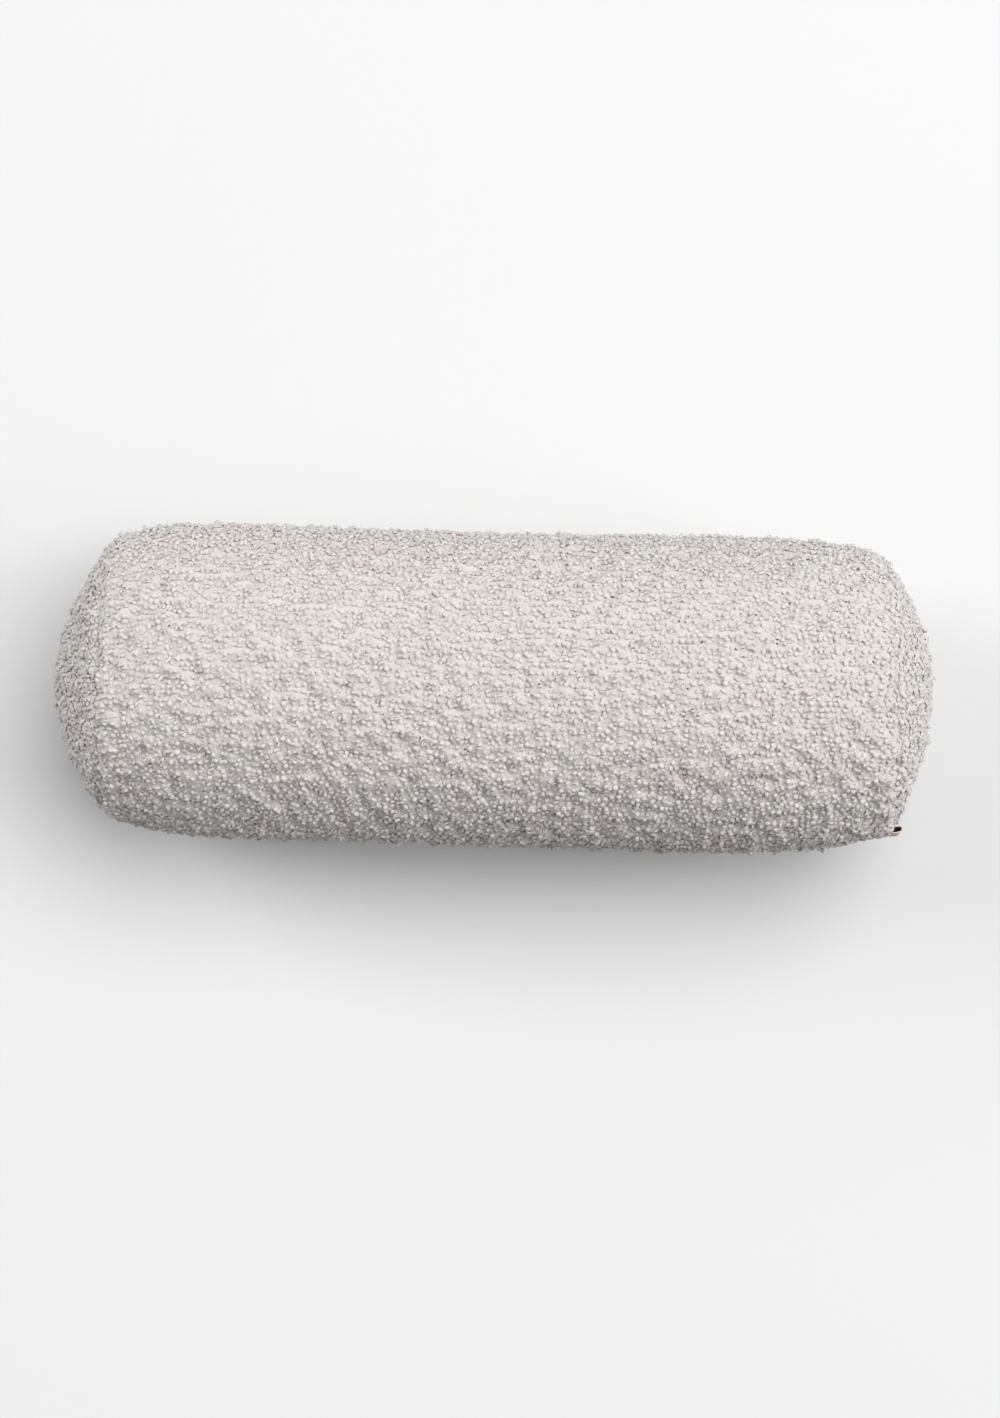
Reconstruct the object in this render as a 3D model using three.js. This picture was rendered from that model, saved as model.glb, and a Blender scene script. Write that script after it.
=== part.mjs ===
// Bolster cushion in nubby boucle cloth. The body panel, wrapped round its filling, is one filled solid.
// A domed round panel is sewn into each end, and a small bare ribbon loop is caught in one end seam.
// Millimetres, +Z up. The roll lies along X, and the surface that it rests on is at z = 0.

import * as THREE from 'three';

// Driving dimensions of the roll
const LENGTH = 600; // tip to tip
const BODY_RADIUS = 110; // at the widest place
const DRAW_IN = 8.5; // how late the body draws in towards its seams: higher is squarer
const SINK = 9; // how far the filling lets the roll down onto the surface
const FLATTEN = 0.045; // share of its radius that the crown has sunk
const CONTACT_BLEND = 4; // height above and below the surface where the underside rounds into its flat

// Cloth and seams
const CLOTH = 2.5; // thickness of the boucle, pile and all
const LABEL_CLOTH = 1;
const GAP = 0.3; // between pieces that touch
const SEAM_DEPTH = 2.5; // the seam lies this far below the cloth on both sides of it
const SEAM_REACH = 3.5; // and the cloth rises out of it over about this far
const SEAM_SQUARE = 59; // degrees from the axis to straight out of the seam

// The two ends. The dome of each end panel rises from the seam to the tip, and a fuller dome has a lower
// taper. A skewed seam lies further along X for each millimetre towards +Y.
const LEFT = { side: -1, seamX: -259, seamRadius: 97, taper: 2.0, skew: 0 };
const RIGHT = { side: 1, seamX: 264, seamRadius: 97, taper: 1.75, skew: -0.06 };
const SKEW_FADE = 90; // the skew fades out of the body over this length

// How the hand-filled roll strays from an even one: sideways, in height and in girth
const SECTIONS = [
  { x: -300, sway: -4, crown: 0, girth: 0 },
  { x: -275, sway: -1, crown: -1, girth: 0 },
  { x: -255, sway: 1.5, crown: -1, girth: 0 },
  { x: -215, sway: 1, crown: 0, girth: 0.3 },
  { x: -130, sway: 0, crown: 1.5, girth: -0.5 },
  { x: 0, sway: -0.8, crown: -0.5, girth: -0.2 },
  { x: 140, sway: -0.6, crown: 1, girth: 0.3 },
  { x: 215, sway: 0.6, crown: -1, girth: -0.3 },
  { x: 258, sway: 3.5, crown: -1, girth: 0 },
  { x: 300, sway: 4, crown: 0, girth: 0 },
];

// Dimples, and puffs where the depth is below zero. Angles are in degrees round the axis, from +Y
// towards +Z.
const DIMPLES = [
  { x: 236, angle: 47, depth: 3, reach: 14 },
  { x: 257, angle: 56, depth: 2.5, reach: 13 },
  { x: 266, angle: 104, depth: 2.4, reach: 14 },
  { x: 261, angle: 124, depth: -1.2, reach: 16 },
  { x: -248, angle: 113, depth: -2.5, reach: 24 },
  { x: -236, angle: 24, depth: 2, reach: 20 },
];

// The ribbon loop, in the right end seam
const LABEL_WIDTH = 14; // along the seam
const LABEL_ANGLE = 171; // its middle, round the axis
const LABEL_PATH = [
  // along X and out from the seam: the outer leg, the fold and the inner leg
  { along: -0.8, out: -1.7 },
  { along: -0.3, out: 0.6 },
  { along: 2.0, out: 2.0 },
  { along: 5.8, out: 1.8 },
  { along: 8.9, out: 0.4 },
  { along: 9.5, out: -1.5 },
  { along: 7.8, out: -2.6 },
  { along: 4.4, out: -1.7 },
  { along: 2.2, out: -0.8 },
  { along: 0.9, out: -1.1 },
  { along: 0.5, out: -2.1 },
];

// Mesh fineness
const ROUND_STEPS = 88;
const BODY_STEPS = 13; // from each seam to the middle
const DOME_STEPS = 10; // from each seam to the tip
const DOME_GRADING = 1.8;
const BODY_GRADING = 2;
const LABEL_STEPS = 34;
const LABEL_WIDTH_STEPS = 6;

const boucle = { color: 0xd9d4cf, roughness: 0.95, metalness: 0 };
const ribbon = { color: 0xcbb8a4, roughness: 0.85, metalness: 0 };

// Shares of the way from a seam, closer together near it
function sharesFromSeam(steps, grading) {
  return Array.from({ length: steps + 1 }, (_, i) => (i / steps) ** grading);
}

function sectionAt(x) {
  const place = THREE.MathUtils.clamp(x, SECTIONS[0].x, SECTIONS.at(-1).x);
  const next = Math.max(1, SECTIONS.findIndex((section) => section.x >= place));
  const [before, after] = SECTIONS.slice(next - 1, next + 1);
  const share = THREE.MathUtils.smoothstep(place, before.x, after.x);
  return {
    sway: THREE.MathUtils.lerp(before.sway, after.sway, share),
    crown: THREE.MathUtils.lerp(before.crown, after.crown, share),
    girth: THREE.MathUtils.lerp(before.girth, after.girth, share),
  };
}

function bodyRadiusAt(x) {
  const end = x < 0 ? LEFT : RIGHT;
  return BODY_RADIUS - (BODY_RADIUS - end.seamRadius) * (x / end.seamX) ** DRAW_IN;
}

function roundPoint(x, radius, angle) {
  return new THREE.Vector3(x, radius * Math.cos(angle), radius * Math.sin(angle));
}

// How far all dimples together push in the skin at a point of the even roll
function dimpling(x, radius, angle) {
  const here = roundPoint(x, radius, angle);
  return DIMPLES.reduce((sum, dimple) => {
    const turn = THREE.MathUtils.degToRad(dimple.angle);
    const there = roundPoint(dimple.x, bodyRadiusAt(dimple.x), turn);
    return sum + dimple.depth * Math.exp(-((here.distanceTo(there) / dimple.reach) ** 2));
  }, 0);
}

// Lets nothing below the surface, with a soft turn from the flat underside into the round
function settle(z) {
  if (z > CONTACT_BLEND) return z;
  if (z < -CONTACT_BLEND) return 0;
  return (z + CONTACT_BLEND) ** 2 / (4 * CONTACT_BLEND);
}

// How far a skewed seam carries the cloth along X: none at the tip, and less and less along the body
function skewAt(x, radius, angle) {
  const end = x < 0 ? LEFT : RIGHT;
  const seamAway = Math.abs(end.seamX);
  const near = THREE.MathUtils.smoothstep(Math.abs(x), seamAway - SKEW_FADE, seamAway);
  return end.skew * near * radius * Math.cos(angle) * (radius / end.seamRadius) ** 2;
}

// Takes a point of the even roll, by its place along the axis, its distance from it and its angle from
// +Y, to where it lies in the settled roll
function lay(x, radius, angle) {
  const section = sectionAt(x);
  const share = radius / BODY_RADIUS;
  const spread = radius + section.girth * share - dimpling(x, radius, angle);
  const lift = Math.max(0, Math.sin(angle));
  const y = spread * Math.cos(angle) + section.sway;
  const sunkCrown = (FLATTEN * radius - section.crown * share) * lift ** 2;
  const z = BODY_RADIUS - SINK + spread * Math.sin(angle) - sunkCrown;
  return new THREE.Vector3(x + skewAt(x, radius, angle), y, settle(z));
}

// Moves a row of skin points in along their normals. The row runs from the left tip to the right one.
function inward(points, depth) {
  return points.map((point, i) => {
    if (point.y === 0) return point.clone().setX(point.x - Math.sign(point.x) * depth);
    const before = point.clone().sub(points[i - 1]).normalize();
    const after = points[i + 1].clone().sub(point).normalize();
    const along = before.add(after).normalize();
    return point.clone().addScaledVector(new THREE.Vector2(-along.y, along.x), -depth);
  });
}

// Skin of one end panel, from the seam to the tip: x along the axis, y the distance from it
function domeSkin(end) {
  const height = LENGTH / 2 - Math.abs(end.seamX);
  return sharesFromSeam(DOME_STEPS, DOME_GRADING).map((share) => {
    const ratio = 1 - share;
    const rise = Math.sqrt(1 - ratio ** 2) ** end.taper;
    return new THREE.Vector2(end.seamX + end.side * height * rise, end.seamRadius * ratio);
  });
}

// Skin of one half of the body panel, from its seam to the middle
function bodySkin(end) {
  const edge = end.seamX - end.side * GAP;
  return sharesFromSeam(BODY_STEPS, BODY_GRADING).map((share) => {
    const x = edge * (1 - share);
    return new THREE.Vector2(x, bodyRadiusAt(x));
  });
}

// Draws a point of the skin in, square to the roll's corner, if it is near a seam
function drawnIn(point) {
  const square = THREE.MathUtils.degToRad(SEAM_SQUARE);
  return [LEFT, RIGHT].reduce((drawn, end) => {
    const away = Math.hypot(point.x - end.seamX, point.y - end.seamRadius);
    const depth = SEAM_DEPTH * Math.exp(-((away / SEAM_REACH) ** 2));
    const out = new THREE.Vector2(end.side * Math.cos(square), Math.sin(square));
    return drawn.addScaledVector(out, -depth);
  }, point.clone());
}

// The whole roll's skin from the left tip to the right one
function rollSkin() {
  const even = [
    ...domeSkin(LEFT).reverse(),
    ...bodySkin(LEFT).slice(0, -1),
    ...bodySkin(RIGHT).reverse(),
    ...domeSkin(RIGHT),
  ];
  return even.map(drawnIn);
}

// Cuts a row from tip to tip at the seams
function cutAtSeams(row) {
  const dome = DOME_STEPS + 1;
  return { left: row.slice(0, dome), body: row.slice(dome, -dome), right: row.slice(-dome) };
}

// Lays each vertex of a geometry. placeInRoll gives its place along the axis, its distance from it and
// its angle.
function layVertices(geometry, placeInRoll) {
  const position = geometry.getAttribute('position');
  const point = new THREE.Vector3();
  for (let i = 0; i < position.count; i += 1) {
    point.fromBufferAttribute(position, i);
    const laid = lay(...placeInRoll(point));
    position.setXYZ(i, laid.x, laid.y, laid.z);
  }
  geometry.computeVertexNormals();
  return geometry;
}

// Turns a profile that starts and ends on the axis about the axis
function layRound(profile) {
  const points = profile.map((point) => new THREE.Vector2(point.y, point.x));
  const geometry = new THREE.LatheGeometry(points, ROUND_STEPS);
  return layVertices(geometry, ({ x, y, z }) => [y, Math.hypot(x, z), Math.atan2(x, z)]);
}

// Body panel and filling: under the end panels it follows their inner faces
function cushionGeometry(skin) {
  const outer = cutAtSeams(skin);
  const under = cutAtSeams(inward(skin, CLOTH + GAP));
  return layRound([
    ...under.left,
    under.body[0],
    ...outer.body,
    under.body.at(-1),
    ...under.right,
  ]);
}

function leftPanelGeometry(skin) {
  const inner = cutAtSeams(inward(skin, CLOTH));
  return layRound([...cutAtSeams(skin).left, ...inner.left.reverse()]);
}

function rightPanelGeometry(skin) {
  const inner = cutAtSeams(inward(skin, CLOTH));
  return layRound([...inner.right.reverse(), ...cutAtSeams(skin).right]);
}

// The ribbon's folded section, swept along the seam
function labelGeometry() {
  const curve = new THREE.SplineCurve(LABEL_PATH.map((p) => new THREE.Vector2(p.along, p.out)));
  const places = Array.from({ length: LABEL_STEPS + 1 }, (_, i) => i / LABEL_STEPS);
  const side = (offset) =>
    places.map((t) => {
      const along = curve.getTangentAt(t);
      const normal = new THREE.Vector2(-along.y, along.x);
      return curve.getPointAt(t).addScaledVector(normal, offset);
    });
  const outline = [...side(LABEL_CLOTH / 2), ...side(-LABEL_CLOTH / 2).reverse()];
  const geometry = new THREE.ExtrudeGeometry(new THREE.Shape(outline), {
    depth: LABEL_WIDTH,
    steps: LABEL_WIDTH_STEPS,
    bevelEnabled: false,
  });
  const middle = THREE.MathUtils.degToRad(LABEL_ANGLE);
  return layVertices(geometry, ({ x, y, z }) => [
    RIGHT.seamX + x,
    RIGHT.seamRadius + y,
    middle + (z - LABEL_WIDTH / 2) / RIGHT.seamRadius,
  ]);
}

function piece(name, geometry, finish) {
  const mesh = new THREE.Mesh(geometry, new THREE.MeshStandardMaterial(finish));
  mesh.name = name;
  return mesh;
}

const skin = rollSkin();
const bolster = new THREE.Group();
bolster.add(
  piece('cushion', cushionGeometry(skin), boucle),
  piece('end_panel_left', leftPanelGeometry(skin), boucle),
  piece('end_panel_right', rightPanelGeometry(skin), boucle),
  piece('label_loop', labelGeometry(), ribbon),
);

export default bolster;
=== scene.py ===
# Bolster cushion in nubby boucle cloth: a filled roll with a domed round panel sewn into each end and a
# small bare ribbon loop in one end seam. Metres, +Z up. The roll lies along X, on the floor at z = 0.

import math

import bmesh
import bpy
import numpy as np
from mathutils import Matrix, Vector
from mathutils.bvhtree import BVHTree


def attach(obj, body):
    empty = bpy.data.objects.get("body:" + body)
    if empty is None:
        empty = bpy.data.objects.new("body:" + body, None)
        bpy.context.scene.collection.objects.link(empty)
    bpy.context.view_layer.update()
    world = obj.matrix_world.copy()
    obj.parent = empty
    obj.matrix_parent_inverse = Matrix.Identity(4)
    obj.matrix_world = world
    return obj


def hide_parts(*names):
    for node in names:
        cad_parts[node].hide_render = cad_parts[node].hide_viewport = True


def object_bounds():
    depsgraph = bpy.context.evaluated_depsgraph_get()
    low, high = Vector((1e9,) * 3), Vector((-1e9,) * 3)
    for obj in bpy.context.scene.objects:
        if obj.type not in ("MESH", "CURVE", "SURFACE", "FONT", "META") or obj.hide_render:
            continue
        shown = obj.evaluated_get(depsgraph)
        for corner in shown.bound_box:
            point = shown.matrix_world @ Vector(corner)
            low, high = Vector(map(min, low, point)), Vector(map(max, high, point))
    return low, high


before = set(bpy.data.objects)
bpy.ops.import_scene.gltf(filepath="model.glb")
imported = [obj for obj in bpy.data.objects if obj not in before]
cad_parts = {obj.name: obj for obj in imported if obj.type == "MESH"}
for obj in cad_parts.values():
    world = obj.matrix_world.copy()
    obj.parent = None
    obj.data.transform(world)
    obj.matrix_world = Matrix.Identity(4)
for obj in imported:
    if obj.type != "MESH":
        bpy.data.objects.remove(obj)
cad_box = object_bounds()
rng = np.random.default_rng(26)

# The roll
RADIUS = 0.110
AXIS_HEIGHT = 0.101
TIP = cad_box[1].x
SEAM_RADIUS = 0.097
SKEW_FADE = 0.090  # the skew of a seam fades out of the body over this length
LEFT = {"side": -1, "seam": -0.259, "taper": 2.0, "skew": 0.0}
RIGHT = {"side": 1, "seam": 0.264, "taper": 1.75, "skew": -0.06}
CLOTH_NODES = ("cushion", "end_panel_left", "end_panel_right")

# The filling presses the cloth out
VOXEL = 0.005
ROUNDING = 4  # passes that smooth the voxels' steps away
PILE_DEPTH = 0.0034  # the ground of the cloth lies this far below the ends of its loops
SWELL = 0.0015
SEWN_REACH = 0.008  # the seam holds the cloth within this distance
SIM_FRAMES = 12
PRESSURE = 400

# Cloth
GROUND = 0.0014  # thickness of the weave that carries the loops
GAP = 0.0003
LOWEST_GROUND = 0.0016  # height of the weave over the floor, with its loops pressed flat under it
SEAM_DEPTH = 0.0020
SEAM_REACH = 0.0040
CORNER = 0.0038  # the remeshed form lost this much of its corner at each seam, and its cloth gets it back
CORNER_REACH = 0.014
SEAM_SQUARE = math.radians(59)  # from the axis to straight out of the seam
SEAM_TUCK = 0.004  # how far the cut edges reach in at the seam
COLUMNS = 216
BODY_RINGS = 150
END_RINGS = 34
FINE_STEPS = 400  # points of a curve before it is divided evenly

# Unevenness of the cloth: (how high it stands, how far apart)
LUMPS = ((0.0007, 0.013), (0.0008, 0.0085))
WAVES = 40
WAVE_SPREAD = (0.75, 1.4)  # shares of that distance

# Looped pile: each nub is a curl of yarn that rises from the weave and dives back into it
NUB_PITCH = 0.0042
NUB_JITTER = 0.38  # share of the pitch that a nub strays from its place
NUB_LENGTH = (0.0014, 0.0030)
NUB_BOW = 0.0008
NUB_TOP = (0.3, 1.0)  # share of the pile's depth that a nub reaches
NUB_POINTS = 5
NUB_ARCH = 0.7  # lower arches are flatter on top
YARN_RADIUS = (0.0009, 0.0020)  # at a nub's ends, and at its middle
YARN_SIDES = 3
FUZZ = 0.35  # the yarn's fine hairs spread the light, so its shading leans this far to the cloth's own
BODY_PILE_PIECES = 4
BAKE_MAP = "OFBake"

# Ribbon loop in the right end seam
LABEL_ANGLE = math.radians(171)
LABEL_WIDTH = 0.014
LABEL_CLOTH = 0.0007
LABEL_PINCH = 0.25  # the loop's lower edge opens this much as far as its upper one
LABEL_LEAN = math.radians(4)  # its lower edge stands out farther from the roll
LABEL_TAPER = 0.7  # and reaches this much as far along it
LABEL_PULL = 0.0035  # the ribbon draws the cloth about its root out to a blunt point
LABEL_PULL_REACH = 0.012
# Loops lie flat within the first distance of the ribbon, and stand free from the second
LABEL_CLEAR = (0.0005, 0.0030)
LABEL_STEPS = 40
LABEL_WIDTH_STEPS = 8
# Along X and out from the cloth at the seam, in mm: the outer leg, the fold and the inner leg
LABEL_PATH = (
    (-4.0, -3.6),
    (-3.5, -0.2),
    (-2.9, 2.1),
    (-0.9, 3.5),
    (2.5, 3.4),
    (5.1, 2.1),
    (5.6, 0.3),
    (4.1, -0.9),
    (1.5, -0.7),
    (-0.5, -0.4),
    (-2.0, -1.4),
    (-2.7, -3.6),
)

# Finishes: stops of the ramps that give each colour
YARN_TONES = (
    (0.0, (0.567, 0.536, 0.517, 1)),
    (0.25, (0.587, 0.551, 0.527, 1)),
    (0.5, (0.606, 0.575, 0.561, 1)),
    (0.75, (0.592, 0.554, 0.538, 1)),
    (1.0, (0.618, 0.587, 0.569, 1)),
)
PAINTED_ROOT_SHADE = 0.96  # painted shade: the yarn's colour is this much darker where it dives into the weave
DYE_TONES = (
    (0.36, (1.0, 0.970, 0.978, 1)),
    (0.5, (1, 1, 1, 1)),
    (0.64, (0.975, 1.0, 0.972, 1)),
)
WEAVE_TONES = (
    (0.0, (0.600, 0.565, 0.543, 1)),
    (1.0, (0.538, 0.506, 0.485, 1)),
)
RIBBON_FACE = (
    (0.0, (0.52, 0.41, 0.32, 1)),
    (1.0, (0.70, 0.60, 0.50, 1)),
)
# The ribbon's inner face: the tape's dark reverse side, made darker still as painted shade inside the loop
RIBBON_BACK_AND_PAINTED_SHADE = (
    (0.0, (0.045, 0.038, 0.030, 1)),
    (1.0, (0.110, 0.085, 0.055, 1)),
)
FLOOR_TONE = (0.64, 0.64, 0.64, 1)
ROOM_TONE = (0.985, 0.985, 1, 1)

# How fine the finishes' patterns are, to the metre
DYE_PATCHES = 45  # where the yarn's dye turns pinker or greener
FIBRES = 1600
WEAVE_CELLS = 420
RIBS = 900

# Light: (way round from +X, way up, in degrees; width and power)
KEY = (45, 65, 7.2, 655)
LEFT_FILL = (155, 30, 4.8, 300)
RIGHT_FILL = (0, 30, 4.8, 230)
LAMP_DISTANCE = 8.0
ROOM_LIGHT = 0.255

# Camera, above the roll
LENS = 78.2
SENSOR_WIDTH = 36
CAMERA_PLACE = (0.0050, -0.0140, 2.203)
CAMERA_TURN = math.radians(1.5)

FLOOR_HALF = 12


def new_object(name, mesh):
    obj = bpy.data.objects.new(name, mesh)
    bpy.context.scene.collection.objects.link(obj)
    return obj


def unit(vectors):
    return vectors / np.maximum(np.linalg.norm(vectors, axis=-1, keepdims=True), 1e-12)


def smoothstep(x):
    share = np.clip(x, 0, 1)
    return share * share * (3 - 2 * share)


def coordinates(mesh):
    flat = np.empty(len(mesh.vertices) * 3)
    mesh.vertices.foreach_get("co", flat)
    return flat.reshape(-1, 3)


def set_coordinates(mesh, points):
    mesh.vertices.foreach_set("co", points.ravel())
    mesh.update()


def keep_modified(obj):
    """The object's mesh becomes what its modifiers make of it."""
    depsgraph = bpy.context.evaluated_depsgraph_get()
    made = bpy.data.meshes.new_from_object(obj.evaluated_get(depsgraph), depsgraph=depsgraph)
    obj.modifiers.clear()
    obj.data = made


# The filled form

def plain_form(inset):
    """One closed skin round the filling and both end panels, that far inside them."""
    joined = bmesh.new()
    for node in CLOTH_NODES:
        joined.from_mesh(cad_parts[node].data)
    mesh = bpy.data.meshes.new("filled_form")
    joined.to_mesh(mesh)
    joined.free()
    form = new_object("filled_form", mesh)
    remesh = form.modifiers.new("even_faces", "REMESH")
    remesh.mode = "VOXEL"
    remesh.voxel_size = VOXEL
    smooth = form.modifiers.new("round_off", "SMOOTH")
    smooth.iterations = ROUNDING
    keep_modified(form)
    normals = np.empty(len(form.data.vertices) * 3)
    form.data.vertices.foreach_get("normal", normals)
    set_coordinates(form.data, coordinates(form.data) - normals.reshape(-1, 3) * inset)
    return form


def seam_x(end, angle):
    """Where an end seam lies along the roll, at an angle round it."""
    return end["seam"] + end["skew"] * SEAM_RADIUS * np.cos(angle)


def swell(form):
    """The filling presses the cloth out, and the two sewn rings hold it."""
    rest = coordinates(form.data)
    angle = np.arctan2(rest[:, 2] - AXIS_HEIGHT, rest[:, 1])
    from_seam = np.minimum(abs(rest[:, 0] - seam_x(LEFT, angle)), abs(rest[:, 0] - seam_x(RIGHT, angle)))
    held = form.vertex_groups.new(name="sewn")
    held.add(np.flatnonzero(from_seam < SEWN_REACH).tolist(), 1.0, "REPLACE")
    cloth = form.modifiers.new("cloth", "CLOTH")
    cloth.settings.vertex_group_mass = held.name
    cloth.settings.use_pressure = True
    cloth.settings.uniform_pressure_force = PRESSURE
    cloth.settings.effector_weights.gravity = 0
    cloth.point_cache.frame_end = SIM_FRAMES
    for step in range(1, SIM_FRAMES + 1):
        bpy.context.scene.frame_set(step)
    keep_modified(form)
    bpy.context.scene.frame_set(1)
    moved = coordinates(form.data) - rest
    distance = np.linalg.norm(moved, axis=1, keepdims=True)
    capped = SWELL * np.tanh(distance / SWELL)
    set_coordinates(form.data, rest + unit(moved) * capped)


def filled_form():
    """The form that the cloth lies on, for rays to meet."""
    form = plain_form(PILE_DEPTH + SWELL)
    swell(form)
    finer = form.modifiers.new("finer", "SUBSURF")
    finer.levels = 1
    keep_modified(form)
    tree = BVHTree.FromPolygons(
        coordinates(form.data).tolist(), [tuple(face.vertices) for face in form.data.polygons]
    )
    bpy.data.objects.remove(form)
    return tree


# The cloth's pieces as grids of points

class Patch:
    """A piece of the skin. Rings lie side by side, and columns run round the roll from the underside."""

    def __init__(self, points):
        self.points = points
        self.find_normals()

    def find_normals(self):
        along = np.gradient(self.points, axis=0)
        wrapped = np.roll(self.points, -1, axis=1) - np.roll(self.points, 1, axis=1)
        normals = unit(np.cross(along, wrapped))
        within = self.points.mean(axis=(0, 1)) * (0.8, 0, 0) + (0, 0, AXIS_HEIGHT)
        if (normals * (self.points - within)).sum() < 0:
            normals = -normals
        pole = np.ptp(self.points, axis=1).max(axis=1) < 1e-6
        for i in np.flatnonzero(pole):
            beside = i + 1 if i == 0 else i - 1
            normals[i] = unit(normals[beside].mean(axis=0))
        self.normals = normals

    def stand_out(self, heights):
        """Lifts the skin by these heights, but never through the floor."""
        self.points = self.points + self.normals * heights[..., None]
        self.points[..., 2] = np.maximum(self.points[..., 2], LOWEST_GROUND)
        self.find_normals()

    def area(self):
        along = np.diff(self.points, axis=0)
        across = np.roll(self.points, -1, axis=1) - self.points
        return np.linalg.norm(np.cross((along + np.roll(along, -1, axis=1)) / 2, across[:-1]), axis=-1).sum()

    def at(self, u, v):
        """Places and normals at shares u from the first ring to the last and v of the way round."""
        rings, columns = self.points.shape[:2]
        row = np.clip(u, 0, 1) * (rings - 1)
        column = v * columns
        i = np.minimum(row.astype(int), rings - 2)
        j = np.floor(column).astype(int)
        a = (row - i)[..., None]
        b = (column - j)[..., None]
        j, k = j % columns, (j + 1) % columns

        def blend(grid):
            near = grid[i, j] * (1 - b) + grid[i, k] * b
            far = grid[i + 1, j] * (1 - b) + grid[i + 1, k] * b
            return near * (1 - a) + far * a

        return blend(self.points), unit(blend(self.normals))


def round_angles():
    """The columns' angles round the roll, from the underside."""
    return np.arange(COLUMNS) / COLUMNS * 2 * math.pi - math.pi / 2


def cast(tree, starts, targets):
    """Where rays from the roll's axis through the targets meet the filled form."""
    hits = np.empty_like(targets)
    for place in np.ndindex(targets.shape[:2]):
        start = Vector(starts[place])
        hits[place] = tree.ray_cast(start, Vector(targets[place]) - start)[0]
    return hits


def sewn(points, end, angle):
    """Gives the cloth its corner at a seam, and draws it in along the seam."""
    radial = np.stack([np.zeros_like(angle), np.cos(angle), np.sin(angle)], axis=-1)
    axial = np.array([end["side"], 0, 0])
    out = radial * math.sin(SEAM_SQUARE) + axial * math.cos(SEAM_SQUARE)
    radius = np.hypot(points[..., 1], points[..., 2] - AXIS_HEIGHT)
    rim = radius[np.abs(points[..., 0] - seam_x(end, angle)).argmin(axis=0), np.arange(COLUMNS)]
    away = np.hypot(points[..., 0] - seam_x(end, angle), radius - rim)
    corner = CORNER * np.exp(-((away / CORNER_REACH) ** 2))
    groove = SEAM_DEPTH * np.exp(-((away / SEAM_REACH) ** 2))
    return points + out * (corner - groove)[..., None]


def out_at(angle):
    """Straight out from the roll's axis, at an angle round it."""
    return np.array([0, math.cos(angle), math.sin(angle)])


def up_at(angle):
    """Along the seam at an angle round the roll, upward on the ribbon's side."""
    return np.array([0, math.sin(angle), -math.cos(angle)])


def drawn_to_label(points):
    """The cloth about the ribbon's root, drawn out along the roll and away from it."""
    out = out_at(LABEL_ANGLE)
    root = out * (SEAM_RADIUS - PILE_DEPTH) + (seam_x(RIGHT, LABEL_ANGLE), 0, AXIS_HEIGHT)
    distance = np.linalg.norm(points - root, axis=-1, keepdims=True)
    way = unit(out + (1, 0, 0))
    return points + way * LABEL_PULL * np.exp(-((distance / LABEL_PULL_REACH) ** 2))


def body_patch(tree):
    angle = round_angles()
    share = np.linspace(0, 1, BODY_RINGS)[:, None]
    length = RIGHT["seam"] - LEFT["seam"]
    near_right = smoothstep((share - 1) * length / SKEW_FADE + 1)
    skew = RIGHT["skew"] * SEAM_RADIUS * np.cos(angle) * near_right
    x = LEFT["seam"] + share * length + skew
    starts = np.stack([x, np.zeros_like(x), np.full_like(x, AXIS_HEIGHT)], axis=-1)
    y = np.broadcast_to(RADIUS * np.cos(angle), x.shape)
    z = np.broadcast_to(RADIUS * np.sin(angle), x.shape) + AXIS_HEIGHT
    points = cast(tree, starts, np.stack([x, y, z], axis=-1))
    for end in (LEFT, RIGHT):
        points = sewn(points, end, angle)
    return Patch(drawn_to_label(points))


def dome_profile(end):
    """Shares of the seam's radius, and how far each lies out from the seam, at even steps from the tip."""
    ratio = np.sin(np.linspace(0, math.pi / 2, FINE_STEPS))
    rise = (TIP - abs(end["seam"])) * (1 - ratio**2) ** (end["taper"] / 2)
    steps = np.hypot(np.diff(ratio) * SEAM_RADIUS, np.diff(rise))
    length = np.concatenate([[0], np.cumsum(steps)])
    even = np.linspace(0, length[-1], END_RINGS)
    return np.interp(even, length, ratio), np.interp(even, length, rise), length[-1]


def end_patch(tree, end):
    """A round end panel, from its tip to its seam, and the radius that it was cut to."""
    angle = round_angles()
    ratio, rise, reach = dome_profile(end)
    ratio, rise = ratio[:, None], rise[:, None]
    skew = end["skew"] * SEAM_RADIUS * np.cos(angle) * ratio**3
    x = end["seam"] + end["side"] * rise + skew
    start_x = end["seam"] + skew - end["side"] * SEAM_RADIUS / 2 * (1 - ratio)
    starts = np.stack([start_x, np.zeros_like(x), np.full_like(x, AXIS_HEIGHT)], axis=-1)
    y = SEAM_RADIUS * ratio * np.cos(angle)
    z = SEAM_RADIUS * ratio * np.sin(angle) + AXIS_HEIGHT
    points = cast(tree, starts, np.stack([x, y, z], axis=-1))
    return Patch(drawn_to_label(sewn(points, end, angle))), reach


def random_field(points, spacing):
    """A smooth random field over space with its swells about this far apart, and a spread of 1."""
    directions = unit(rng.normal(size=(WAVES, 3)))
    lengths = spacing * rng.uniform(*WAVE_SPREAD, WAVES)
    phases = rng.uniform(0, 2 * math.pi, WAVES)
    waves = np.cos(points @ (directions / lengths[:, None]).T * 2 * math.pi + phases)
    return waves.sum(axis=-1) / math.sqrt(WAVES / 2)


def make_lumpy(patches):
    """Makes the skin uneven, alike on both sides of each seam."""
    sizes = [patch.points.shape[0] for patch in patches]
    everything = np.concatenate([patch.points for patch in patches])
    heights = sum(high * random_field(everything, spacing) for high, spacing in LUMPS)
    for patch, part in zip(patches, np.split(heights, np.cumsum(sizes)[:-1])):
        patch.stand_out(part)


# Meshes

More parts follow.
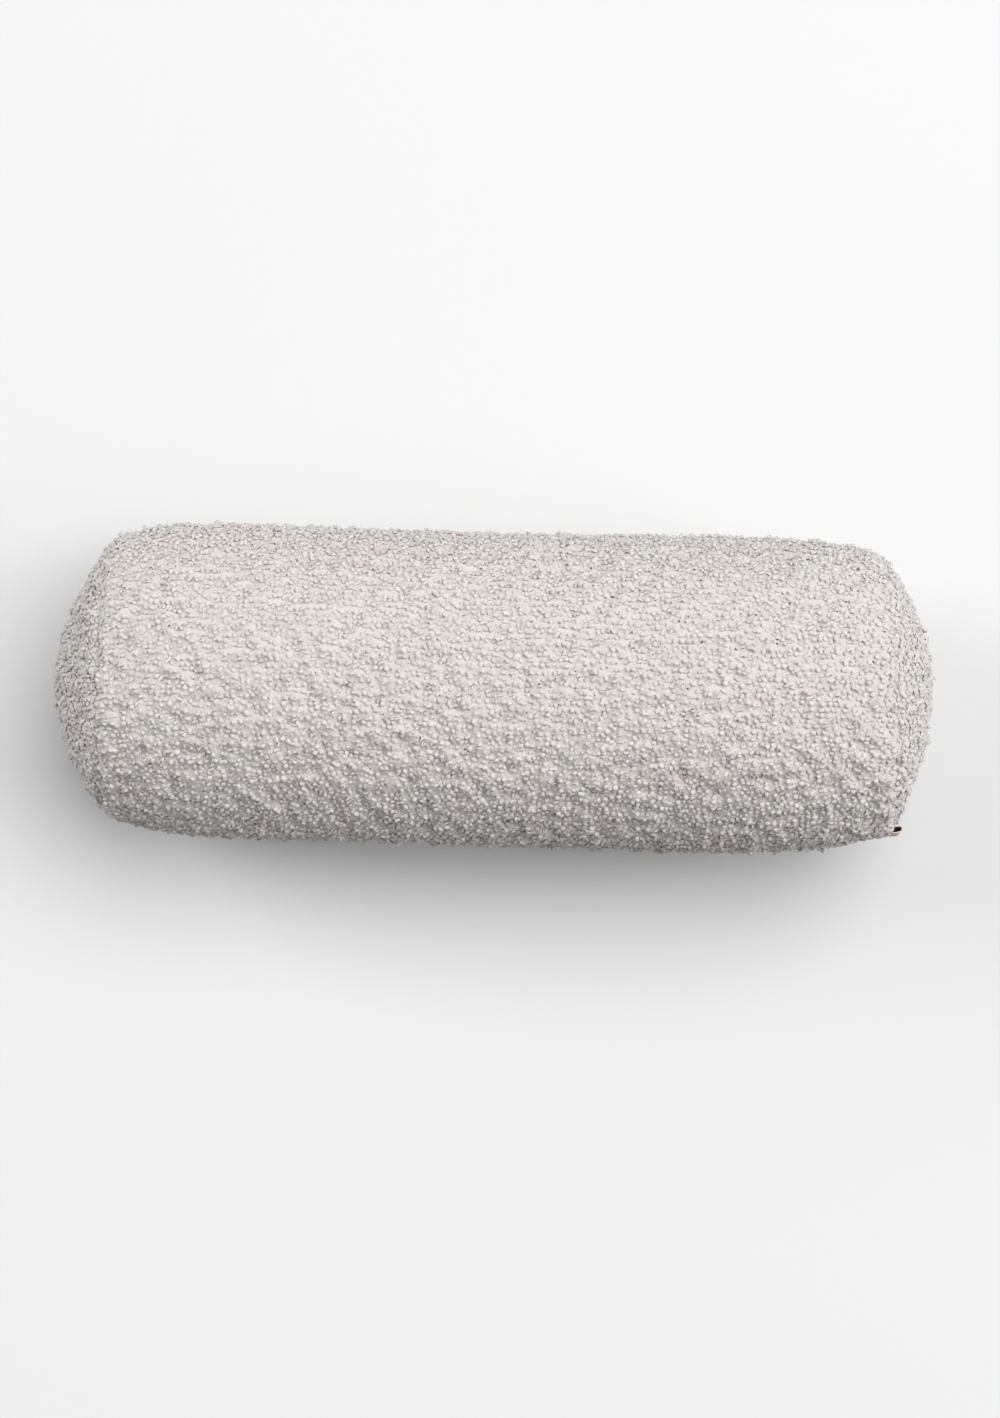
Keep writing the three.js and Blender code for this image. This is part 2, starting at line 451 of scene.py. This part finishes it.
def mesh_of(name, vertices, faces, map_corners):
    """A smooth mesh with the map through which its finish can be baked."""
    mesh = bpy.data.meshes.new(name)
    mesh.from_pydata(vertices.tolist(), [], faces, shade_flat=False)
    layer = mesh.uv_layers.new(name=BAKE_MAP)
    layer.data.foreach_set("uv", np.asarray(map_corners, np.float32).ravel())
    mesh.validate()
    return mesh


def face_outward(mesh):
    solid = bmesh.new()
    solid.from_mesh(mesh)
    if solid.calc_volume(signed=True) < 0:
        bmesh.ops.reverse_faces(solid, faces=solid.faces)
    solid.to_mesh(mesh)
    solid.free()


def closed_round(name, rings):
    """A closed mesh of rings whose first and last are single points."""
    count, columns = rings.shape[:2]
    inner = rings[1:-1].reshape(-1, 3)
    vertices = np.concatenate([rings[0, :1], inner, rings[-1, :1]])
    last = len(vertices) - 1

    def index(ring, column):
        if ring == 0:
            return 0
        if ring == count - 1:
            return last
        return 1 + (ring - 1) * columns + column % columns

    faces, corners = [], []
    for ring in range(count - 1):
        low, high = ring / (count - 1), (ring + 1) / (count - 1)
        for column in range(columns):
            left, right = column / columns, (column + 1) / columns
            if ring == 0:
                faces.append((0, index(1, column), index(1, column + 1)))
                corners += [((left + right) / 2, low), (left, high), (right, high)]
            elif ring == count - 2:
                faces.append((index(ring, column), last, index(ring, column + 1)))
                corners += [(left, low), ((left + right) / 2, high), (right, low)]
            else:
                faces.append(
                    (
                        index(ring, column),
                        index(ring + 1, column),
                        index(ring + 1, column + 1),
                        index(ring, column + 1),
                    )
                )
                corners += [(left, low), (left, high), (right, high), (right, low)]
    mesh = mesh_of(name, vertices, faces, corners)
    face_outward(mesh)
    return mesh


def under(patch, depth):
    """The patch's points, moved in from it."""
    return patch.points - patch.normals * depth


def body_cloth(body, left, right):
    """The body panel with its filling, which reaches under both end panels."""
    below = GROUND + GAP
    left_dome = under(left, below)[:-1:2]
    right_dome = under(right, below)[:-1:2][::-1]
    tucks = []
    for patch_ring, end in ((body.points[0], LEFT), (body.points[-1], RIGHT)):
        inward = patch_ring * (0, -1, -1) + (0, 0, AXIS_HEIGHT)
        tucks.append(patch_ring + unit(inward) * SEAM_TUCK)
        tucks[-1][:, 0] -= end["side"] * GAP
    rings = [*left_dome, tucks[0], *body.points, tucks[1], *right_dome]
    return new_object("body_cloth", closed_round("body_cloth", np.array(rings)))


def end_cloth(name, patch):
    """A round end panel with its thickness."""
    rings = np.concatenate([patch.points, under(patch, GROUND)[::-1]])
    return new_object(name, closed_round(name, rings))


# The ribbon loop

def label_seam(body):
    """The point of the seam at the middle of the ribbon."""
    turn = (LABEL_ANGLE + math.pi / 2) / (2 * math.pi)
    return body.at(np.array(1.0), np.array(turn))[0]


def label_curve():
    """The folded ribbon's middle line at even steps, along X and out from the seam, and its length."""
    knots = np.array(LABEL_PATH) / 1000
    padded = np.concatenate([2 * knots[:1] - knots[1:2], knots, 2 * knots[-1:] - knots[-2:-1]])
    place = np.linspace(0, len(knots) - 1, FINE_STEPS)
    i = np.minimum(place.astype(int), len(knots) - 2)
    t = (place - i)[:, None]
    a, b, c, d = (padded[i + k] for k in range(4))
    fine = b + 0.5 * t * (c - a + t * (2 * a - 5 * b + 4 * c - d + t * (3 * (b - c) + d - a)))
    length = np.concatenate([[0], np.cumsum(np.linalg.norm(np.diff(fine, axis=0), axis=1))])
    even = np.linspace(0, length[-1], LABEL_STEPS + 1)
    return np.stack([np.interp(even, length, fine[:, k]) for k in (0, 1)], axis=-1), length[-1]


def ribbon_mesh(layers):
    """A closed ribbon. Each layer runs along its outer face and back along its inner face."""
    count, around = layers.shape[:2]
    half = around // 2
    faces_high = 0.9  # the faces fill the map up to here, and the two cut edges lie above them
    edge_high = 0.03
    faces, corners, inner = [], [], []
    for layer in range(count - 1):
        for k in range(around):
            after = (k + 1) % around
            first, second = layer * around, (layer + 1) * around
            faces.append((first + k, first + after, second + after, second + k))
            low = faces_high * layer / (count - 1)
            high = faces_high * (layer + 1) / (count - 1)
            left, right = k / around, (k + 1) / around
            corners += [(left, low), (right, low), (right, high), (left, high)]
            inner.append(half <= k < around - 1)
    for layer, low in ((0, 0.92), (count - 1, 0.96)):
        start = layer * around
        for k in range(half - 1):
            faces.append((start + k, start + k + 1, start + around - 2 - k, start + around - 1 - k))
            left, right = k / half, (k + 1) / half
            high = low + edge_high
            corners += [(left, low), (right, low), (right, high), (left, high)]
            inner.append(False)
    mesh = mesh_of("label_ribbon", layers.reshape(-1, 3), faces, corners)
    mesh.polygons.foreach_set("material_index", np.array(inner, np.int32))
    solid = bmesh.new()
    solid.from_mesh(mesh)
    bmesh.ops.recalc_face_normals(solid, faces=solid.faces)
    solid.to_mesh(mesh)
    solid.free()
    face_outward(mesh)
    return mesh


def label_ribbon(body):
    """The ribbon, wider open along its upper edge, and the length that it was cut to."""
    curve, length = label_curve()
    tangent = unit(np.gradient(curve, axis=0))
    normal = np.stack([-tangent[:, 1], tangent[:, 0]], axis=-1)
    out = out_at(LABEL_ANGLE)
    upward = up_at(LABEL_ANGLE - LABEL_LEAN)
    root = label_seam(body) + out * SEAM_DEPTH
    outermost = curve[:, 1].max()
    layers = []
    for share in np.linspace(0, 1, LABEL_WIDTH_STEPS + 1):
        openness = LABEL_PINCH + (1 - LABEL_PINCH) * smoothstep(share)
        sides = []
        for offset in (LABEL_CLOTH / 2, -LABEL_CLOTH / 2):
            flat = curve * (LABEL_TAPER + (1 - LABEL_TAPER) * share, 1) + normal * offset
            stands_out = outermost + (flat[:, 1:] - outermost) * openness
            place = root + flat[:, :1] * (1, 0, 0) + stands_out * out
            sides.append(place + upward * (share - 0.5) * LABEL_WIDTH)
        layers.append(np.concatenate([sides[0], sides[1][::-1]]))
    return new_object("label_ribbon", ribbon_mesh(np.array(layers))), length


def clear_of_label(places, body):
    """How far loops may stand up at each place, from 0 beside the ribbon to 1 away from it."""
    beside = places - label_seam(body)
    upward = up_at(LABEL_ANGLE)
    along_width = beside @ upward
    nearest = np.clip(along_width, -LABEL_WIDTH / 2, LABEL_WIDTH / 2)
    distance = np.linalg.norm(beside - nearest[..., None] * upward, axis=-1)
    near, far = LABEL_CLEAR
    return smoothstep((distance - near) / (far - near))


# The looped pile

def lattice(width, height):
    """Places on a flat piece of cloth, a nub's pitch apart and each strayed a little."""
    columns, rows = round(width / NUB_PITCH), round(height / NUB_PITCH)
    i, j = np.meshgrid(np.arange(columns), np.arange(rows), indexing="ij")
    stray = rng.uniform(-NUB_JITTER, NUB_JITTER, (2, columns, rows))
    shifted = 0.25 + 0.5 * (j % 2)  # every second row lies half a pitch aside
    x = (i + shifted + stray[0]) / columns * width
    y = (j + 0.5 + stray[1]) / rows * height
    return np.stack([x.ravel(), y.ravel()], axis=-1)


def nubs(places):
    """A curl of yarn at each place on the flat cloth: its points, how far each is lifted, and its tint."""
    count = len(places)
    share = np.linspace(-1, 1, NUB_POINTS)
    arch = 1 - share**2
    turn = rng.uniform(0, math.pi, count)
    heading = np.stack([np.cos(turn), np.sin(turn)], axis=-1)
    aside = np.stack([-np.sin(turn), np.cos(turn)], axis=-1)
    along = rng.uniform(*NUB_LENGTH, count)[:, None] / 2 * share
    bow = rng.uniform(-NUB_BOW, NUB_BOW, count)[:, None] * (arch - 0.5)
    points = places[:, None] + along[..., None] * heading[:, None] + bow[..., None] * aside[:, None]
    lift = rng.uniform(*NUB_TOP, count)[:, None] * arch**NUB_ARCH
    return points, lift, rng.random(count)


def body_nubs(patch):
    length = RIGHT["seam"] - LEFT["seam"]
    girth = np.linalg.norm(np.diff(patch.points[BODY_RINGS // 2], axis=0), axis=1).sum()
    points, lift, tint = nubs(lattice(length, girth))
    places, normals = patch.at(points[..., 0] / length, points[..., 1] / girth)
    return places, normals, lift, tint


def end_nubs(patch, reach):
    flat = lattice(2 * reach, 2 * reach) - reach
    flat = flat[np.linalg.norm(flat, axis=-1) < reach - YARN_RADIUS[1]]
    points, lift, tint = nubs(flat)
    distance = np.linalg.norm(points, axis=-1) / reach
    turn = np.arctan2(points[..., 1], points[..., 0]) / (2 * math.pi)
    places, normals = patch.at(distance, turn)
    return places, normals, lift, tint


def tube_rings(path, radius):
    """Rings of points round each path, carried along it without a twist."""
    tangent = unit(np.gradient(path, axis=1))
    side = np.empty_like(path)
    askew = (0.3, 0.5, 0.8)  # any way that no yarn starts along
    previous = unit(np.cross(tangent[:, 0], askew))
    for i in range(path.shape[1]):
        ahead = tangent[:, i]
        previous = unit(previous - ahead * (previous * ahead).sum(axis=-1, keepdims=True))
        side[:, i] = previous
    other = np.cross(tangent, side)
    turn = 2 * math.pi * np.arange(YARN_SIDES) / YARN_SIDES
    ring = side[:, :, None] * np.cos(turn)[:, None] + other[:, :, None] * np.sin(turn)[:, None]
    return path[:, :, None] + ring * radius[:, :, None, None]


def yarn_faces(rows, points):
    """Side faces and end caps of tubes whose rings follow each other."""
    row = np.arange(rows)[:, None, None] * points
    ring = np.arange(points - 1)[None, :, None]
    side = np.arange(YARN_SIDES)[None, None, :]
    here = (row + ring) * YARN_SIDES
    after = (side + 1) % YARN_SIDES
    quads = np.stack(
        [here + side, here + after, here + YARN_SIDES + after, here + YARN_SIDES + side], axis=-1
    )
    first = np.arange(rows)[:, None] * points * YARN_SIDES + np.arange(YARN_SIDES)[::-1]
    last = first[:, ::-1] + (points - 1) * YARN_SIDES
    return quads.reshape(-1, 4), np.concatenate([first, last])


def yarn_map(quads, caps):
    """Lays the yarns' faces out in rows, one cell for each ring of a tube and a last row for the caps."""
    segments = quads // YARN_SIDES
    per_row = math.ceil(math.sqrt(segments * YARN_SIDES))
    rows = math.ceil(segments / per_row) + 1
    segment = np.arange(quads) // YARN_SIDES
    side = np.arange(quads) % YARN_SIDES
    left = segment % per_row / per_row
    low = (segment // per_row + side / YARN_SIDES) / rows
    wide, high = 1 / per_row, 1 / rows / YARN_SIDES
    around = np.array([(0, 0), (0, 1), (1, 1), (1, 0)])
    corners = np.stack([left, low], axis=-1)[:, None] + around * (wide, high)
    cap_left = np.arange(caps) / caps
    turn = 2 * math.pi * np.arange(YARN_SIDES) / YARN_SIDES
    cap_shape = np.stack([0.5 + 0.4 * np.cos(turn), 0.5 + 0.4 * np.sin(turn)], axis=-1)
    cap_corners = np.stack([cap_left, np.full(caps, 1 - 1 / rows)], axis=-1)[:, None]
    cap_corners = cap_corners + cap_shape * (1 / caps, 1 / rows)
    return np.concatenate([corners.reshape(-1, 2), cap_corners.reshape(-1, 2)])


def pile(name, places, normals, lift, tint):
    """One mesh of nubs, from the places, normals and lifts of their points and a tint for each nub."""
    thin, thick = YARN_RADIUS
    radius = thin + (thick - thin) * lift
    # Its ends are half sunk in the weave, and the highest nub's outer side reaches the pile's depth
    height = radius * 0.5 + (PILE_DEPTH - thick * 1.5) * lift
    path = places + normals * height[..., None]
    path[..., 2] = np.maximum(path[..., 2], radius)
    rings = tube_rings(path, radius)
    quads, caps = yarn_faces(*lift.shape)
    corners = yarn_map(len(quads), len(caps))
    mesh = mesh_of(name, rings.reshape(-1, 3), quads.tolist() + caps.tolist(), corners)
    facing = unit(rings - path[:, :, None]) * (1 - FUZZ) + normals[:, :, None] * FUZZ
    mesh.normals_split_custom_set_from_vertices(unit(facing).reshape(-1, 3))
    around = NUB_POINTS * YARN_SIDES
    for attribute, values in (("tint", np.repeat(tint, around)), ("lift", np.repeat(lift, YARN_SIDES))):
        layer = mesh.attributes.new(attribute, "FLOAT", "POINT")
        layer.data.foreach_set("value", values.astype(np.float32))
    return new_object(name, mesh)


# Finishes

def material(name, **sockets):
    made = bpy.data.materials.new(name)
    made.use_nodes = True
    shader = made.node_tree.nodes["Principled BSDF"]
    for socket, value in sockets.items():
        shader.inputs[socket.replace("_", " ")].default_value = value
    return made


def cloth_material(name):
    return material(name, Roughness=0.95, Specular_IOR_Level=0.2, Sheen_Weight=0.15, Sheen_Roughness=0.5)


def node(made, kind, links=(), **values):
    """Adds a node. Values set its inputs by name, or else its own settings."""
    added = made.node_tree.nodes.new(kind)
    for name, value in values.items():
        if name in {socket.name.replace(" ", "_") for socket in added.inputs}:
            added.inputs[name.replace("_", " ")].default_value = value
        else:
            setattr(added, name, value)
    for output, target in links:
        made.node_tree.links.new(output, added.inputs[target])
    return added


def feed(made, output, socket):
    """Joins an output to the material's shader."""
    shader = made.node_tree.nodes["Principled BSDF"]
    made.node_tree.links.new(output, shader.inputs[socket])


def object_place(made):
    return node(made, "ShaderNodeTexCoord").outputs["Object"]


def attribute(made, name):
    return node(made, "ShaderNodeAttribute", attribute_name=name).outputs["Fac"]


def ramp(made, share, stops):
    """The colour at this share of the way through the stops."""
    added = node(made, "ShaderNodeValToRGB", [(share, "Fac")])
    elements = added.color_ramp.elements
    while len(elements) < len(stops):
        elements.new(0.5)
    for element, (place, colour) in zip(elements, stops):
        element.position = place
        element.color = colour
    return added.outputs["Color"]


def multiplied(made, first, second):
    added = node(made, "ShaderNodeVectorMath", [(first, 0), (second, 1)], operation="MULTIPLY")
    return added.outputs["Vector"]


def add_bump(made, height, **values):
    added = node(made, "ShaderNodeBump", [(height, "Height")], **values)
    feed(made, added.outputs["Normal"], "Normal")


def boucle_finish():
    """Yarn in close tones, one for each nub, unevenly dyed and fibrous, with painted shade toward its roots.
    """
    made = cloth_material("boucle_loops")
    place = object_place(made)
    lift = attribute(made, "lift")
    # Painted shade: the lower a point of the yarn lies, the darker its colour
    painted_shade = node(made, "ShaderNodeMapRange", [(lift, "Value")], To_Min=PAINTED_ROOT_SHADE, To_Max=1.0)
    patches = node(made, "ShaderNodeTexNoise", [(place, "Vector")], Scale=DYE_PATCHES, Detail=1)
    tones = ramp(made, attribute(made, "tint"), YARN_TONES)
    dyes = ramp(made, patches.outputs["Fac"], DYE_TONES)
    yarn_with_painted_shade = multiplied(made, tones, painted_shade.outputs["Result"])
    feed(made, multiplied(made, yarn_with_painted_shade, dyes), "Base Color")
    fibres = node(made, "ShaderNodeTexNoise", [(place, "Vector")], Scale=FIBRES, Detail=3)
    add_bump(made, fibres.outputs["Fac"], Strength=0.5, Distance=0.0004)
    return made


def ground_finish():
    """The weave under the nubs, darker between its yarns."""
    made = cloth_material("boucle_ground")
    cells = node(made, "ShaderNodeTexVoronoi", [(object_place(made), "Vector")], Scale=WEAVE_CELLS)
    from_yarn = cells.outputs["Distance"]
    feed(made, ramp(made, from_yarn, WEAVE_TONES), "Base Color")
    add_bump(made, from_yarn, invert=True, Strength=0.8, Distance=0.001)
    return made


def ribbon_finish(name, tones):
    """Woven tape, ribbed across its length."""
    made = material(name, Roughness=0.8, Specular_IOR_Level=0.3, Sheen_Weight=0.1)
    ribs = node(
        made,
        "ShaderNodeTexWave",
        [(object_place(made), "Vector")],
        bands_direction="Z",
        Scale=RIBS,
        Distortion=1.5,
        Detail=2,
    )
    feed(made, ramp(made, ribs.outputs["Fac"], tones), "Base Color")
    add_bump(made, ribs.outputs["Fac"], Strength=0.6, Distance=0.0003)
    return made


# Stage, light and camera

def floor():
    half = FLOOR_HALF
    corners = [(-half, -half, 0), (half, -half, 0), (half, half, 0), (-half, half, 0)]
    mesh = bpy.data.meshes.new("floor")
    mesh.from_pydata(corners, [], [(0, 1, 2, 3)])
    mesh.materials.append(material("pale_floor", Base_Color=FLOOR_TONE, Roughness=0.9))
    made = new_object("floor", mesh)


def lamp(name, turn, rise, width, power):
    """A round lamp that faces the roll."""
    round_way, up = math.radians(turn), math.radians(rise)
    toward = Vector((math.cos(round_way) * math.cos(up), math.sin(round_way) * math.cos(up), math.sin(up)))
    data = bpy.data.lights.new(name, "AREA")
    data.shape = "DISK"
    data.size = width
    data.energy = power
    made = new_object(name, data)
    made.location = toward * LAMP_DISTANCE
    made.rotation_euler = toward.to_track_quat("Z", "Y").to_euler()


def soft_light():
    """A large lamp high beyond the roll's far right end, and a low one beyond each end, in a pale room."""
    lamp("key", *KEY)
    lamp("left_fill", *LEFT_FILL)
    lamp("right_fill", *RIGHT_FILL)
    room = bpy.data.worlds.new("room")
    room.use_nodes = True
    background = room.node_tree.nodes["Background"]
    background.inputs["Color"].default_value = ROOM_TONE
    background.inputs["Strength"].default_value = ROOM_LIGHT
    bpy.context.scene.world = room
    bpy.context.scene.view_settings.view_transform = "Standard"


def camera():
    data = bpy.data.cameras.new("camera")
    data.lens = LENS
    data.sensor_width = SENSOR_WIDTH
    made = new_object("camera", data)
    made.location = CAMERA_PLACE
    made.rotation_euler = (0, 0, CAMERA_TURN)
    bpy.context.scene.camera = made


def body_piles(body):
    """The body's nubs, split into pieces that each stay light."""
    places, normals, lift, tint = body_nubs(body)
    lift = lift * clear_of_label(places, body)
    parts = np.array_split(np.arange(len(lift)), BODY_PILE_PIECES)
    return [
        pile(f"pile_body_{k + 1}", places[part], normals[part], lift[part], tint[part])
        for k, part in enumerate(parts)
    ]


def build():
    tree = filled_form()
    body = body_patch(tree)
    left, left_reach = end_patch(tree, LEFT)
    right, right_reach = end_patch(tree, RIGHT)
    make_lumpy([body, left, right])

    body_piece = body_cloth(body, left, right)
    left_piece = end_cloth("end_cloth_left", left)
    right_piece = end_cloth("end_cloth_right", right)
    piles = body_piles(body)
    piles.append(pile("pile_end_left", *end_nubs(left, left_reach)))
    places, normals, lift, tint = end_nubs(right, right_reach)
    piles.append(pile("pile_end_right", places, normals, lift * clear_of_label(places, body), tint))
    label, label_length = label_ribbon(body)

    ground = ground_finish()
    for piece in (body_piece, left_piece, right_piece):
        piece.data.materials.append(ground)
    loops = boucle_finish()
    for piece in piles:
        piece.data.materials.append(loops)
    label.data.materials.append(ribbon_finish("ribbon_face", RIBBON_FACE))
    # The inner faces take the dark tones: partly the tape's reverse side, partly painted shade within the
    # loop
    label.data.materials.append(ribbon_finish("ribbon_back", RIBBON_BACK_AND_PAINTED_SHADE))
    for piece in (body_piece, left_piece, right_piece, *piles):
        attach(piece, "root")
    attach(label, "root")
    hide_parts("cushion")
    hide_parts("end_panel_left")
    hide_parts("end_panel_right")
    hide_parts("label_loop")
    for piece, patch in ((left_piece, left), (right_piece, right)):
        area = patch.area()


build()
floor()
soft_light()
camera()
